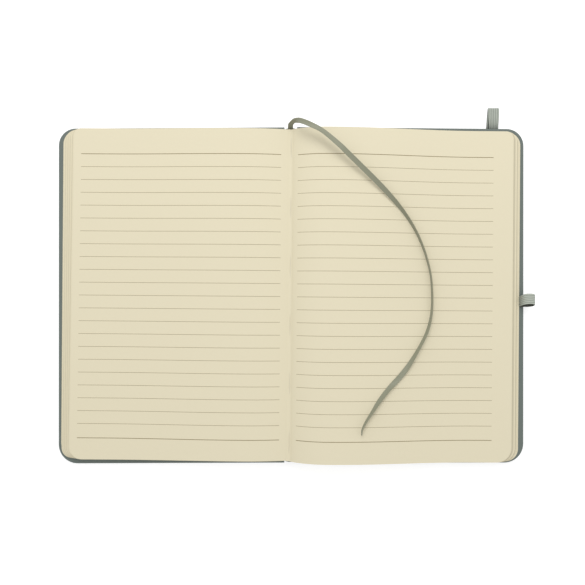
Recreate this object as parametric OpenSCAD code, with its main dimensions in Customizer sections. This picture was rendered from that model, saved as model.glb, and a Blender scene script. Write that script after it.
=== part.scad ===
// Hardcover ruled notebook with a ribbon marker, an elastic closure and a pen loop.
// It lies open near its middle on a flat surface, and every size is in millimetres.
// X runs across the open spread with the front cover at -X, Y from the tail to the head, and Z up.
// A right-hand half is drawn with x counted outwards from the spine, and the front half is its mirror.

/* [Covers] */
// Height of a cover, from head to tail
cover_h = 210; // [195:0.5:225]
// Width of a cover, from the spine gap to its fore-edge
cover_w = 141.75; // [135:0.25:150]
// Radius of a cover's two outer corners
cover_r = 10.5; // [7:0.5:13]
// Radius that softens a cover's edges
edge_soft = 0.8; // [0.4:0.1:1.1]
// Thickness of the board inside a cover
board_t = 2; // [1.6:0.1:2.6]
// Thickness of the covering material
skin_t = 0.45; // [0.35:0.05:0.6]
// How far the covering is turned in over the inner face of a board
turn_in = 15; // [11:0.5:20]

/* [Spine] */
// Gap between the two covers at the spine, with the notebook lying open
spine_gap = 8; // [7:0.5:9]
// Height of the crest of the arched spine above the table
spine_crest = 6; // [5.6:0.1:6.6]
// How much shorter the arched spine is than a cover, at each end
spine_inset = 1.2; // [1:0.1:3]
// Thickness of the lining glued to the back of the page block
lining_t = 0.3; // [0.2:0.05:0.4]
// Hollow between the crest of the spine and the lining
spine_hollow = 0.3; // [0.2:0.05:0.5]

/* [Page block] */
// How much shorter a leaf is than a cover, at each end
leaf_margin = 2.5; // [2:0.25:6]
// How far the page block sits towards the head
leaf_shift = 0.5; // [0:0.1:1]
// Radius of a leaf's two outer corners
leaf_r = 8; // [5:0.5:11]
// Margin of cover that shows beyond the lowest leaf at the fore-edge
fore_margin = 2.5; // [2:0.1:4]
// Clockwise turn of the page block in its covers, in degrees
block_turn = 0.4; // [0:0.02:0.5]
// Thickness of the leaves that lie on the front cover, at their fore-edge
front_leaves_t = 4.5; // [3:0.1:6]
// Thickness of the leaves that lie on the back cover, at their fore-edge
back_leaves_t = 3.2; // [2.4:0.1:6]
// How far the front leaves fan out at their fore-edge
front_fan = 7; // [3:0.5:9]
// How far the back leaves fan out at their fore-edge
back_fan = 4.9; // [2:0.1:7]
// Number of sewn sections on the front cover, which part a little at the fore-edge
front_sections = 5; // [2:1:6]
// Number of sewn sections on the back cover
back_sections = 3; // [2:1:6]
// Depth of the groove where two sections part
groove_d = 0.9; // [0.4:0.1:1.5]
// Width of the groove where two sections part
groove_w = 0.25; // [0.15:0.05:0.3]
// Height that the front leaves swell above their fore-edge
front_swell = 4.1; // [2:0.1:6]
// Height that the back leaves swell above their fore-edge
back_swell = 9.2; // [5:0.1:11]
// Distance from the gutter to the crest of the front swell
front_crest_x = 28; // [20:1:36]
// Distance from the gutter to the crest of the back swell
back_crest_x = 24; // [18:1:32]
// Distance from the gutter at which the leaves lie flat again
flat_x = 116; // [100:1:124]
// Height of the gutter's bottom above the table
gutter_z = 8.7; // [8:0.1:9]
// Thickness of an endpaper
paper_t = 0.15; // [0.1:0.05:0.2]
// Margin of turned-in covering that an endpaper leaves uncovered
paper_margin = 3; // [2.6:0.1:5]

/* [Stitching] */
// Number of stitches that show in the gutter
stitch_count = 6; // [4:1:8]
// Length of a stitch
stitch_l = 14; // [8:1:18]
// Distance from an end of the block to the middle of the nearest stitch
stitch_end = 11.5; // [9:0.5:30]
// Diameter of the thread
thread_d = 0.5; // [0.3:0.05:0.5]

/* [Elastic closure] */
// Width of the elastic band
band_w = 7; // [5:0.5:10]
// Thickness of the elastic band
band_t = 0.6; // [0.4:0.05:0.9]
// Distance from the cover's fore-edge to the middle of the band
band_inset = 18; // [12:0.5:24]
// How far the slack loop of the band stands out past the head
band_out = 13.5; // [6:0.1:20]
// Distance from the head and the tail to the slots that the band goes into
slot_inset = 9; // [6:0.5:14]
// Clearance round the band in its slots
slot_clear = 0.15; // [0.1:0.05:0.3]
// Play between the two layers of the band
band_play = 0.1; // [0.05:0.05:0.3]

/* [Pen loop] */
// Width of the elastic of the pen loop
loop_w = 6.5; // [5:0.5:9]
// Thickness of the elastic of the pen loop
loop_t = 0.7; // [0.5:0.05:0.9]
// Inner width of the pen loop, outwards from the cover
loop_in_w = 6.6; // [6.6:0.2:9]
// Inner height of the pen loop
loop_in_h = 5.6; // [5.6:0.1:7]
// Distance from the middle of the cover to the middle of the loop's foot, towards the tail
loop_down = 4; // [0:0.5:40]
// How far the loop slants towards the head for each unit of its height
loop_slant = 0.3; // [0:0.05:0.4]
// How far the loop stands out past the cover's fore-edge
loop_out = 5.9; // [5.5:0.1:8]
// Length of the loop's tab under the endpaper
loop_tab = 7; // [4:0.5:9]

/* [Ribbon marker] */
// Width of the ribbon
ribbon_w = 3.2; // [2.4:0.1:4]
// Thickness of the ribbon
ribbon_t = 0.4; // [0.3:0.05:0.5]

/* [Hidden] */

FRONT = -1;
BACK = 1;
smooth = 64;            // segments of a full round
seam = 0.05;            // half the play between pieces of the two halves at the spine
play = 0.1;             // play between the block and the lining, and round hidden tabs
gutter_play = 0.15;     // play between each half of the block and the fold
past = 1;               // how far a cutter runs past the face that it cuts

half_gap = spine_gap / 2;
band_stack = 2 * band_t + band_play;    // the back cover rests on the doubled band
board_z = skin_t + board_t;             // top of a board above its cover's underside
cover_t = board_t + 2 * skin_t;
leaves_z = cover_t + 3 * paper_t;       // an endpaper's two sheets, with a sheet's play between them
lift = [0, band_stack];                 // underside of the front and of the back cover
leaves_t = [front_leaves_t, back_leaves_t];
fan = [front_fan, back_fan];
crest_x = [front_crest_x, back_crest_x];
rise_power = [1, 0.85];                 // how abruptly each half rises out of the gutter
swell = [front_swell, back_swell];
sections = [front_sections, back_sections];

leaf_h = cover_h - 2 * leaf_margin;
head_y = leaf_h / 2 + leaf_shift;       // head of the page block
stitch_pitch = (leaf_h - 2 * stitch_end) / (stitch_count - 1);
fore_edge_x = half_gap + cover_w;
lowest_leaf_x = fore_edge_x - fore_margin;
paste_w = cover_w - paper_margin;
paste_h = cover_h - 2 * paper_margin;
paste_r = cover_r - paper_margin;
window_w = cover_w - turn_in;
window_h = cover_h - 2 * turn_in;

band_x = fore_edge_x - band_inset;
slot_y = cover_h / 2 - slot_inset;
loop_right = fore_edge_x + loop_out;
loop_middle_x = loop_right - loop_t - loop_in_w / 2;
loop_middle_z = band_stack + cover_t + loop_t + loop_in_h / 2;
loop_root_x = lowest_leaf_x + play;     // the loop rises here, clear of the lowest leaf
tab_x = half_gap + paste_w - loop_tab;

// The bottom centre of the whole notebook, without its ribbon, is the origin
origin_x = (loop_right - fore_edge_x) / 2;
origin_y = band_out / 2;

// Arches one inside the other: the spine, the lining and the back of the block, with room for its turn
lining_under = [half_gap + leaf_h * sin(block_turn) + play, spine_crest + spine_hollow];
lining_over = [lining_under.x + lining_t, lining_under.y + lining_t];
block_back = [lining_over.x + play, lining_over.y + play];

// The ribbon's route as x, y beyond the block's head, z and its lean in degrees, to its free end
ribbon_route = [
    [-0.2, 0.3, 6.8, 0], [-0.2, 1.4, 8.5, 0], [-0.1, 2.6, 10.5, 20], [0.7, 3.3, 12.5, 60],
    [2.3, 3.6, 16, 50], [4, 3.2, 19, 30], [5.6, 2.6, 21.2, 15], [8, 1.4, 23, 5],
    [11.5, -0.3, 24, 0], [19, -4.3, 24.6, -18], [29, -12.4, 24, -6], [34.5, -17.5, 23, 8],
    [46.5, -28.5, 20.2, 15], [53, -34.5, 18.5, 22], [59.5, -41, 17, 32], [66, -48, 15.4, 49],
    [71.5, -55, 14.2, 63], [76, -62, 13.4, 71], [79.5, -69, 12.9, 75], [83, -78, 12.4, 79],
    [86, -90, 12, 81], [87, -103.5, 11.8, 79], [86.5, -114, 11.9, 76], [84.5, -123, 12.1, 66],
    [81.5, -130, 12.5, 66], [77, -138, 13.1, 60], [72, -146, 13.5, 34], [66.5, -153, 13.9, 10],
    [60, -159.5, 15.3, 36], [54, -167, 16.2, 43], [50, -173, 17.1, 57], [46, -179, 17.6, 67],
    [43.5, -184, 17.9, 74], [43, -187.5, 18.1, 80],
];
ribbon_rings = 2;       // rings in each stretch of the route
ribbon_sides = 8;

function side_i(side) = side == FRONT ? 0 : 1;

// Height of the bottom leaf and of the flat top of one half's leaves, and of that half's crest
function leaves_low(i) = lift[i] + leaves_z;
function leaves_top(i) = leaves_low(i) + leaves_t[i];
function crest_z(i) = leaves_top(i) + swell[i];

// Height of the uppermost leaf of half i at a distance d from the gutter
function leaf_z(i, d) =
    d < crest_x[i]
        ? gutter_z + (crest_z(i) - gutter_z) * sin(90 * pow(d / crest_x[i], rise_power[i]))
        : leaves_top(i) + swell[i] * (1 + cos(180 * min(1, (d - crest_x[i]) / (flat_x - crest_x[i])))) / 2;

// A quarter of an ellipse with half-axes size.x and size.y, from its side to its top
function quarter(size, steps, low = 0) =
    [for (i = [0:steps]) let (a = low + (90 - low) * i / steps) [size.x * cos(a), size.y * sin(a)]];
function reversed(points) = [for (i = [len(points) - 1:-1:0]) points[i]];
function raised(points, z) = [for (p = points) [p.x, p.y + z]];
function ellipse(size, middle) =
    [for (i = [0:35]) [middle.x + size.x * cos(10 * i), middle.y + size.y * sin(10 * i)]];

// Section of a cover from its inside at x = 0 to an edge softened by arcs at x = w
function soft_edge(w) = concat(
    [[0, 0]],
    [for (a = [-90:22.5:0]) [w - edge_soft + edge_soft * cos(a), edge_soft + edge_soft * sin(a)]],
    [for (a = [0:22.5:90]) [w - edge_soft + edge_soft * cos(a), cover_t - edge_soft + edge_soft * sin(a)]],
    [[0, cover_t]]
);

// Catmull-Rom curve through the ribbon's route, with its lean as a fourth value
function knot(i) = ribbon_route[max(0, min(len(ribbon_route) - 1, i))];
function along(i, t) =
    let (a = knot(i - 1), b = knot(i), c = knot(i + 1), d = knot(i + 2))
    (2 * b + (c - a) * t + (2 * a - 5 * b + 4 * c - d) * t * t + (3 * b - a - 3 * c + d) * t * t * t) / 2;
function flat3(v) = [v[0], v[1], v[2]];
function unit(v) = v / norm(v);
ribbon_path = concat(
    [for (i = [0:len(ribbon_route) - 2], n = [0:ribbon_rings - 1]) along(i, n / ribbon_rings)],
    [knot(len(ribbon_route) - 1)]
);
function heading(i) =
    unit(flat3(ribbon_path[min(i + 1, len(ribbon_path) - 1)]) - flat3(ribbon_path[max(i - 1, 0)]));
function ribbon_ring(i) =
    let (
        ahead = heading(i),
        level = unit(cross([0, 0, 1], ahead)),
        upright = cross(ahead, level),
        lean = ribbon_path[i][3],
        across = level * cos(lean) + upright * sin(lean),
        through = cross(ahead, across)
    )
    [for (n = [0:ribbon_sides - 1]) let (a = 360 * (n + 0.5) / ribbon_sides)
        flat3(ribbon_path[i]) + across * (ribbon_w / 2) * cos(a) / cos(180 / ribbon_sides)
            + through * (ribbon_t / 2) * sin(a) / cos(180 / ribbon_sides)];

// Places a right-hand half, drawn from the spine outwards, on its own side
module on_side(side) {
    translate([-origin_x, -origin_y, 0])
        mirror([side == FRONT ? 1 : 0, 0, 0])
            children();
}

// Stands a section drawn in x and z up and runs it along Y, centred
module run_along_y(length) {
    rotate([90, 0, 0])
        translate([0, 0, -length / 2])
            linear_extrude(length)
                children();
}

// Outline with two round outer corners, from its straight inner edge at x = 0
module sheet_outline(w, h, r) {
    translate([0, -h / 2])
        square([w - r, h]);
    translate([0, r - h / 2])
        square([w, h - 2 * r]);
    for (end = [-1, 1])
        translate([w - r, end * (h / 2 - r)])
            circle(r, $fn = smooth);
}

// The leaf's outline, turned as the block is turned in its covers
module leaf_outline(side) {
    rotate(-side * block_turn)
        translate([0, leaf_shift])
            sheet_outline(lowest_leaf_x, leaf_h, leaf_r);
}

// A whole cover with softened edges, from its straight spine edge at x = 0
module cover_blank() {
    run_along_y(cover_h - 2 * cover_r)
        polygon(soft_edge(cover_w));
    rotate([90, 0, 90])
        linear_extrude(cover_w - cover_r)
            for (end = [0, 1])
                mirror([end, 0])
                    polygon(soft_edge(cover_h / 2));
    for (end = [-1, 1])
        translate([cover_w - cover_r, end * (cover_h / 2 - cover_r), 0])
            rotate([0, 0, end > 0 ? 0 : -90])
                rotate_extrude(angle = 90, $fn = smooth)
                    polygon(soft_edge(cover_r));
}

module board_blank() {
    translate([0, 0, skin_t])
        linear_extrude(board_t)
            sheet_outline(cover_w - skin_t, cover_h - 2 * skin_t, cover_r - skin_t);
}

// The two slots for the band, and the shallow bed of the pen loop's tab
module fitting_cuts() {
    for (end = [-1, 1])
        translate([
            band_x - half_gap - band_w / 2 - slot_clear,
            end * slot_y - band_t / 2 - slot_clear,
            -past
        ])
            cube([band_w + 2 * slot_clear, band_t + 2 * slot_clear, board_z + past]);
    translate([tab_x - half_gap - play, -loop_down - loop_w / 2 - play, cover_t - loop_t - play])
        cube([loop_root_x + loop_t - tab_x + 2 * play, loop_w + 2 * play, loop_t + play + past]);
}

module board(side) {
    translate([half_gap, 0, lift[side_i(side)]])
        difference() {
            board_blank();
            if (side == BACK)
                fitting_cuts();
        }
}

// The covering is wrapped round the board and turned in, and runs on as half of the arched spine
module cover_skin(side) {
    base = lift[side_i(side)];
    outer = [half_gap, spine_crest - base];
    inner = outer - [skin_t, skin_t];
    translate([0, 0, base]) {
        translate([half_gap, 0, 0])
            difference() {
                cover_blank();
                board_blank();
                translate([-past, -window_h / 2, board_z - play])
                    cube([window_w + past, window_h, skin_t + play + past]);
                if (side == BACK)
                    fitting_cuts();
            }
        run_along_y(cover_h - 2 * spine_inset)
            difference() {
                union() {
                    polygon(concat([[0, 0]], quarter(outer, 12)));
                    square([half_gap + skin_t, skin_t]);
                }
                polygon(concat([[0, -past], [inner.x, -past]], quarter(inner, 12)));
                translate([-past, -past])
                    square([past + seam, outer.y + 2 * past]);
            }
    }
}

// One folded sheet: a half pasted over the turn-ins and the board, and a free half under the leaves
module endpaper(side) {
    free_z = cover_t + 2 * paper_t;
    translate([half_gap, 0, lift[side_i(side)]]) {
        difference() {
            translate([0, 0, board_z])
                linear_extrude(skin_t + paper_t)
                    sheet_outline(paste_w, paste_h, paste_r);
            translate([0, 0, board_z - past])
                linear_extrude(skin_t + past)
                    difference() {
                        translate([-past, -cover_h / 2])
                            square([cover_w, cover_h]);
                        translate([-past, -window_h / 2])
                            square([window_w + past, window_h]);
                    }
            translate([-past, paper_t - window_h / 2, board_z + paper_t])
                cube([window_w + past - paper_t, window_h - 2 * paper_t, skin_t + past]);
        }
        translate([0, -paste_h / 2 + paste_r, board_z])
            cube([paper_t, paste_h - 2 * paste_r, free_z + paper_t - board_z]);
        translate([0, 0, free_z])
            linear_extrude(paper_t)
                intersection() {
                    translate([-half_gap, 0])
                        leaf_outline(side);
                    translate([0, -cover_h])
                        square([cover_w, 2 * cover_h]);
                }
    }
}

// Point on the slanting fore-edge of half i, at a share of its thickness, raised by an amount
function fore_edge(i, share, up = 0) = [
    lowest_leaf_x - fan[i] * (share + up / leaves_t[i]),
    leaves_low(i) + leaves_t[i] * share + up,
];

// Section of one half of the leaves, from the gutter over its swell to the fanned fore-edge
module leaves_section(i) {
    low = leaves_low(i);
    low_angle = asin(low / block_back.y);
    rise = [for (n = [0:10]) gutter_play + (crest_x[i] - gutter_play) * pow(n / 10, 1.6)];
    fall = [for (n = [1:12]) crest_x[i] + (flat_x - crest_x[i]) * n / 12];
    polygon(concat(
        [for (d = concat(rise, fall)) [d, leaf_z(i, d)]],
        [fore_edge(i, 1)],
        [for (n = [sections[i] - 1:-1:1]) let (share = n / sections[i]) each [
            fore_edge(i, share, groove_w / 2),
            fore_edge(i, share) - [groove_d, 0],
            fore_edge(i, share, -groove_w / 2),
        ]],
        [fore_edge(i, 0)],
        [for (p = quarter(block_back, 8, low_angle)) [max(p.x, gutter_play), p.y]]
    ));
}

// Block with round outer corners that lean back as the leaves fan out
module fanned_block(i) {
    low = leaves_low(i);
    high = crest_z(i) + past;
    back = fan[i] * (high - low) / leaves_t[i];
    hull() {
        for (end = [-1, 1]) {
            translate([lowest_leaf_x - leaf_r, end * (leaf_h / 2 - leaf_r), low])
                cylinder(r = leaf_r, h = 0.01, $fn = 32);
            translate([lowest_leaf_x - leaf_r - back, end * (leaf_h / 2 - leaf_r), high])
                cylinder(r = leaf_r, h = 0.01, $fn = 32);
        }
        translate([0, -leaf_h / 2, low])
            cube([past, leaf_h, high - low]);
    }
}

module pages(side) {
    i = side_i(side);
    rotate([0, 0, -side * block_turn])
        translate([0, leaf_shift, 0])
            intersection() {
                run_along_y(leaf_h + past)
                    leaves_section(i);
                fanned_block(i);
            }
}

module front_board() {
    color([0.62, 0.58, 0.52])
        on_side(FRONT)
            board(FRONT);
}

module back_board() {
    color([0.62, 0.58, 0.52])
        on_side(BACK)
            board(BACK);
}

module front_cover_skin() {
    color([0.4, 0.46, 0.43])
        on_side(FRONT)
            cover_skin(FRONT);
}

module back_cover_skin() {
    color([0.4, 0.46, 0.43])
        on_side(BACK)
            cover_skin(BACK);
}

module front_endpaper() {
    color([0.88, 0.84, 0.74])
        on_side(FRONT)
            endpaper(FRONT);
}

module back_endpaper() {
    color([0.88, 0.84, 0.74])
        on_side(BACK)
            endpaper(BACK);
}

module front_pages() {
    color([0.9, 0.86, 0.76])
        on_side(FRONT)
            pages(FRONT);
}

module back_pages() {
    color([0.9, 0.86, 0.76])
        on_side(BACK)
            pages(BACK);
}

// Gauze and paper glued round the back of the block, from one half's lowest leaf to the other's
module spine_lining() {
    color([0.8, 0.77, 0.7])
        on_side(BACK)
            rotate([0, 0, -block_turn])
                translate([0, leaf_shift, 0])
                    run_along_y(leaf_h - 2 * spine_inset)
                        for (i = [0, 1])
                            mirror([1 - i, 0])
                                difference() {
                                    polygon(concat([[0, 0]], quarter(lining_over, 12)));
                                    polygon(concat([[0, 0]], quarter(lining_under, 12)));
                                    translate([-past, -past])
                                        square([lining_over.x + 2 * past, past + leaves_low(i) + play]);
                                }
}

// Stitches that lie in the gutter, just on the front half's side of the fold
module sewing_thread() {
    color([0.93, 0.91, 0.85])
        on_side(BACK)
            rotate([0, 0, -block_turn])
                for (n = [0:stitch_count - 1])
                    translate([
                        -0.2,
                        leaf_shift + (n - (stitch_count - 1) / 2) * stitch_pitch + stitch_l / 2,
                        gutter_z + thread_d / 2 + play
                    ])
                        rotate([90, 0, 0])
                            cylinder(d = thread_d, h = stitch_l, $fn = 24);
}

// A flat strap drawn along its length, and run across its width along X
module across_x(width) {
    rotate([90, 0, 90])
        linear_extrude(width)
            children();
}

// The band comes out of its slot at the head, doubles back in a slack loop and runs to the tail
module elastic_band() {
    bend = band_stack / 2;
    bend_y = cover_h / 2 + band_out - bend;
    color([0.66, 0.69, 0.65])
        on_side(BACK)
            translate([band_x - band_w / 2, 0, 0])
                across_x(band_w) {
                    translate([-slot_y - band_t / 2, 0])
                        square([bend_y + slot_y + band_t / 2, band_t]);
                    translate([-slot_y - band_t / 2, 0])
                        square([band_t, band_stack + board_z]);
                    translate([slot_y - band_t / 2, band_t + band_play])
                        square([bend_y - slot_y + band_t / 2, band_t]);
                    translate([slot_y - band_t / 2, band_t + band_play])
                        square([band_t, band_t + board_z]);
                    difference() {
                        translate([bend_y, bend])
                            circle(bend, $fn = smooth);
                        translate([bend_y, bend])
                            circle(band_play / 2, $fn = smooth);
                        translate([bend_y - 2 * bend, -past])
                            square([2 * bend, band_stack + 2 * past]);
                    }
                }
}

// Leans what is drawn towards the head, above the height z
module slanted(slant, z) {
    multmatrix([[1, 0, 0, 0], [0, 1, slant, -slant * z], [0, 0, 1, 0], [0, 0, 0, 1]])
        children();
}

// A slanting loop for a pen, on a tab that is let in under the back endpaper
module pen_loop() {
    strip_z = band_stack + cover_t;
    middle = [loop_middle_x, loop_middle_z];
    hole = [loop_in_w / 2, loop_in_h / 2];
    color([0.66, 0.69, 0.65])
        on_side(BACK)
            translate([0, -loop_down, 0]) {
                translate([tab_x, -loop_w / 2, strip_z - loop_t])
                    cube([loop_root_x + loop_t - tab_x, loop_w, loop_t]);
                slanted(loop_slant, strip_z)
                    run_along_y(loop_w)
                        difference() {
                            union() {
                                polygon(ellipse(hole + [loop_t, loop_t], middle));
                                polygon([
                                    [loop_root_x, strip_z - play],
                                    [loop_root_x + loop_t, strip_z - play],
                                    [loop_root_x + loop_t, strip_z],
                                    [loop_middle_x, strip_z],
                                    middle,
                                    [loop_root_x, strip_z + 2 * loop_t],
                                ]);
                            }
                            polygon(ellipse(hole, middle));
                        }
            }
}

// A flat ribbon swept along its route
module ribbon_marker() {
    rings = len(ribbon_path);
    color([0.5, 0.54, 0.5])
        on_side(BACK)
            translate([0, head_y, 0])
                polyhedron(
                    points = [for (i = [0:rings - 1]) each ribbon_ring(i)],
                    faces = concat(
                        [[for (n = [0:ribbon_sides - 1]) n]],
                        [for (i = [0:rings - 2], n = [0:ribbon_sides - 1])
                            let (a = i * ribbon_sides, b = (n + 1) % ribbon_sides)
                            each [
                                [a + n, a + ribbon_sides + n, a + ribbon_sides + b],
                                [a + n, a + ribbon_sides + b, a + b],
                            ]],
                        [[for (n = [ribbon_sides - 1:-1:0]) (rings - 1) * ribbon_sides + n]]
                    )
                );
}

front_board();
front_cover_skin();
front_endpaper();
front_pages();
back_board();
back_cover_skin();
back_endpaper();
back_pages();
spine_lining();
sewing_thread();
elastic_band();
pen_loop();
ribbon_marker();
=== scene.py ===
"""An open hardcover notebook with ruled pages, a ribbon marker, an elastic closure and a pen loop.

Lengths are in millimetres, except where a comment says metres. They are counted from the middle of the open
covers (the case frame), and place() and in_case() bring them to the row frame, which is in metres. A half of
the notebook is described by its distance d from the gutter, so that one description serves both sides.
"""

import math

import bmesh
import bpy
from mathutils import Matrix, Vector


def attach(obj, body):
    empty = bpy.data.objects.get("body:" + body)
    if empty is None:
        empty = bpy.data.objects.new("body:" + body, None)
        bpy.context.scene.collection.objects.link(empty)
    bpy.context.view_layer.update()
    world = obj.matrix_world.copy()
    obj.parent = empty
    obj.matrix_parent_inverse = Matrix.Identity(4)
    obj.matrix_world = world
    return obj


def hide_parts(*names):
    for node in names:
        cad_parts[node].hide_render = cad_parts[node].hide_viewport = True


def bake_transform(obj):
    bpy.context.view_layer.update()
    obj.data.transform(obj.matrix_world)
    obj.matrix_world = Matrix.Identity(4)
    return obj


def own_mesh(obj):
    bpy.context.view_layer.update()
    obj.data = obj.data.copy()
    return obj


MM = 0.001
ORIGIN = (2.95, 6.75)  # the row frame's origin in the case frame
SIDE = {"front": -1, "back": 1}
HINGE_Z = 7.85  # height of the closing axis, where both flat stacks end
PRESSED_Z = 7.75  # height to which the pages of a half flatten as the notebook closes

# The case

COVER_W, COVER_H, COVER_T = 141.75, 210.0, 2.9
COVER_R = {"head": 10.5, "tail": 12.0}  # radii of the covers' corners
LEAST_R = 0.6  # radius that an inner corner keeps, however far it is set in
LIFT = {"front": 0.0, "back": 1.3}  # how high each cover lies above the table
SKIN_T = 0.45  # thickness of the covering
EDGE_SOFT = 0.8  # rounding of a cover's edges
TURN_IN = 15.0  # width of the covering that is turned in over the board
HALF_GAP = 4.0  # half of the gap between the covers, which the spine bridges
ENDPAPER_INSET = 1.5  # how far inside the cover's spine edge the pasted sheet begins
FORE_EDGE = HALF_GAP + COVER_W
SPINE_RISE, SPINE_LENGTH, SPINE_MIDDLE = 6.0, 208.0, 0.5  # height of its arch, length, middle along Y
CORNER_STEPS = 14  # of a quarter turn at a corner
ARCH_STEPS = 24  # of each half of the spine's arch
STRIP_STEPS = 12  # of a strip along the spine

# The page block

TURN = math.radians(0.4)  # its clockwise turn in the covers
FLAT_X = 116.0  # distance from the gutter at which the hump of the pages has died away
GUTTER_Z = 8.7  # height of the open page at the gutter
DROP_FROM = 40.0  # distance from the gutter at which the tail starts to drop
BLOCK_BACK = (5.93, 6.7)  # half-axes of its rounded back
BLOCK_MIDDLE = 0.5  # where its middle lies along Y
LINING_GAP, LINING_T, LINING_LENGTH = 0.1, 0.3, 202.6
LEAF_START = 0.6  # least distance of a sewn leaf from the gutter
LEAF_FILL = 0.8  # a sewn leaf's thickness, as a share of the room that it has
LEAF_CREEP = 0.03  # how far a leaf falls short of the one below it in its section
LEAF_UNEVEN = 0.06  # most that a leaf's fore-edge is off its place by chance
LEAF_STEPS = 64  # points of a sewn leaf from gutter to fore-edge
LEAF_SEED = 7
TOP_LEAF_T = 0.12

# The rules

EVEN_RULES = 22  # the last one below them has a place of its own
RULE_W, END_RULE_W = 0.22, 0.40
HALF_STRIP = 1.4  # half of the plain strip in the middle between two rules
TINY = 1e-6  # leeway for comparing distances

# Both halves of the page block, and the slant of their covers' ends
# low: height of the lowest leaf's underside
# swell, crest, power: height of the hump beside the gutter, its distance, and how abruptly it rises
# sections, leaves: sewn sections, and the leaves in each
# edge, step, growth: fore-edge of the lowest section, how far the next one falls short, and how that grows
# groove, groove_shade: share of a step that is groove, and the grey level of the painted shade on the paper
# in the groove
# head, tail, drop: ends of the leaves, and how much farther out the tail lies at the fore-edge
# lean: slant of the fore-edge
# corners: radii at the head and at the tail, first of the lowest leaf and then of the top one
# pasted, top_edge: fore-edges of the endpaper and of the top leaf
# first, pitch, last: the rules' places from head to tail
# inner, outer: where the rules begin and end
# square: how far the cover's head and then its tail are out of square, at the spine and at the fore-edge
HALVES = {
    "front": dict(
        low=3.35, swell=4.1, crest=28.0, power=1.0, sections=5, leaves=8,
        edge=142.75, step=1.5, growth=1.0, groove=0.4, groove_shade=0.90,
        head=103.0, tail=-102.0, drop=0.4, lean=0.008, corners=((9.0, 6.0), (4.5, 8.0)),
        pasted=143.2, top_edge=136.1,
        first=87.22, pitch=7.967, last=-88.98, inner=6.5, outer=131.3,
        square=((0.9, 0.0), (0.2, -0.4)),
    ),
    "back": dict(
        low=4.65, swell=9.2, crest=24.0, power=0.76, sections=3, leaves=12,
        edge=141.55, step=1.15, growth=1.65, groove=0.5, groove_shade=0.80,
        head=103.05, tail=-102.45, drop=0.0, lean=0.0, corners=((8.0, 8.5), (4.5, 9.0)),
        pasted=142.75, top_edge=137.6,
        first=86.74, pitch=7.934, last=-88.71, inner=3.85, outer=125.2,
        square=((0.85, -0.45), (0.35, 0.6)),
    ),
}


# Camera, straight above the spread

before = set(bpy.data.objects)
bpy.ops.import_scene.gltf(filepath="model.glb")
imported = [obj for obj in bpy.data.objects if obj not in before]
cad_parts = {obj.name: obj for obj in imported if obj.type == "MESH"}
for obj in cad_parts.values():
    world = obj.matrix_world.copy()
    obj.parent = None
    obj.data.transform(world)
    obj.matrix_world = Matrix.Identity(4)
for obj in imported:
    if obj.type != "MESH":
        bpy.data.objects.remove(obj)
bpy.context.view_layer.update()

CAMERA_AT = (1.1, 2.1)
CAMERA_Z = 0.440  # metres
HALF_VIEW = 0.18478  # metres of table from the middle of the picture to its edge
CAMERA_ROLL = math.radians(0.03)

camera_data = bpy.data.cameras.new("camera")
camera_data.sensor_width = 36
camera_data.angle = 2 * math.atan(HALF_VIEW / CAMERA_Z)
camera = bpy.data.objects.new("camera", camera_data)
camera.location = ((CAMERA_AT[0] - ORIGIN[0]) * MM, (CAMERA_AT[1] - ORIGIN[1]) * MM, CAMERA_Z)
camera.rotation_euler = (0, 0, CAMERA_ROLL)
bpy.context.scene.collection.objects.link(camera)
bpy.context.scene.camera = camera


# Meshes

def place(x, y, z):
    """Case frame in millimetres to row frame in metres."""
    return ((x - ORIGIN[0]) * MM, (y - ORIGIN[1]) * MM, z * MM)


def place_leaf(half, d, y, z):
    """A point of the page block, which is turned a little in its covers."""
    x = SIDE[half] * d
    return place(x * math.cos(TURN) + y * math.sin(TURN), y * math.cos(TURN) - x * math.sin(TURN), z)


def shade(obj, angle):
    """Smooth shading, except across edges sharper than an angle in degrees."""
    obj.data.polygons.foreach_set("use_smooth", [True] * len(obj.data.polygons))
    obj.data.set_sharp_from_angle(angle=math.radians(angle))
    obj.data.update()
    return obj


def closed_shell(name, verts, faces, materials, index=None, uv=None, sharp=40):
    """A new piece whose faces point outwards, with a UV for each vertex where uv gives one."""
    mesh = bpy.data.meshes.new(name)
    mesh.from_pydata(verts, [], faces)
    for material in materials:
        mesh.materials.append(material)
    if index:
        mesh.polygons.foreach_set("material_index", index)
    if uv:
        layer = mesh.uv_layers.new(name="along")
        for loop in mesh.loops:
            layer.data[loop.index].uv = uv[loop.vertex_index]
    bm = bmesh.new()
    bm.from_mesh(mesh)
    bmesh.ops.recalc_face_normals(bm, faces=bm.faces)
    bm.to_mesh(mesh)
    bm.free()
    obj = bpy.data.objects.new(name, mesh)
    bpy.context.scene.collection.objects.link(obj)
    return shade(obj, sharp)


def grid_faces(rows, columns, wrap=False):
    """Quads of a grid whose vertices are stored row by row."""
    faces = []
    for i in range(rows - 1):
        for j in range(columns if wrap else columns - 1):
            k = (j + 1) % columns
            a, b = i * columns, (i + 1) * columns
            faces.append((a + j, b + j, b + k, a + k))
    return faces


def tube_faces(rings, points):
    """Faces of a tube made of rings, with both ends closed."""
    last = (rings - 1) * points
    ends = [tuple(reversed(range(points))), tuple(range(last, last + points))]
    return grid_faces(rings, points, wrap=True) + ends


def sheet_faces(n):
    """Faces of a sheet between two rims of n points, the lower rim first."""
    walls = [(i, (i + 1) % n, (i + 1) % n + n, i + n) for i in range(n)]
    return [tuple(reversed(range(n))), tuple(range(n, 2 * n))] + walls


def smoothstep(a, b, x):
    """Rises smoothly from 0 at a to 1 at b."""
    t = max(0.0, min(1.0, (x - a) / (b - a)))
    return t * t * (3 - 2 * t)


def quarter_turn(steps=CORNER_STEPS):
    """Angles from 0 to a right angle."""
    return [math.pi / 2 * i / steps for i in range(steps + 1)]


# Geometry nodes

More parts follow.
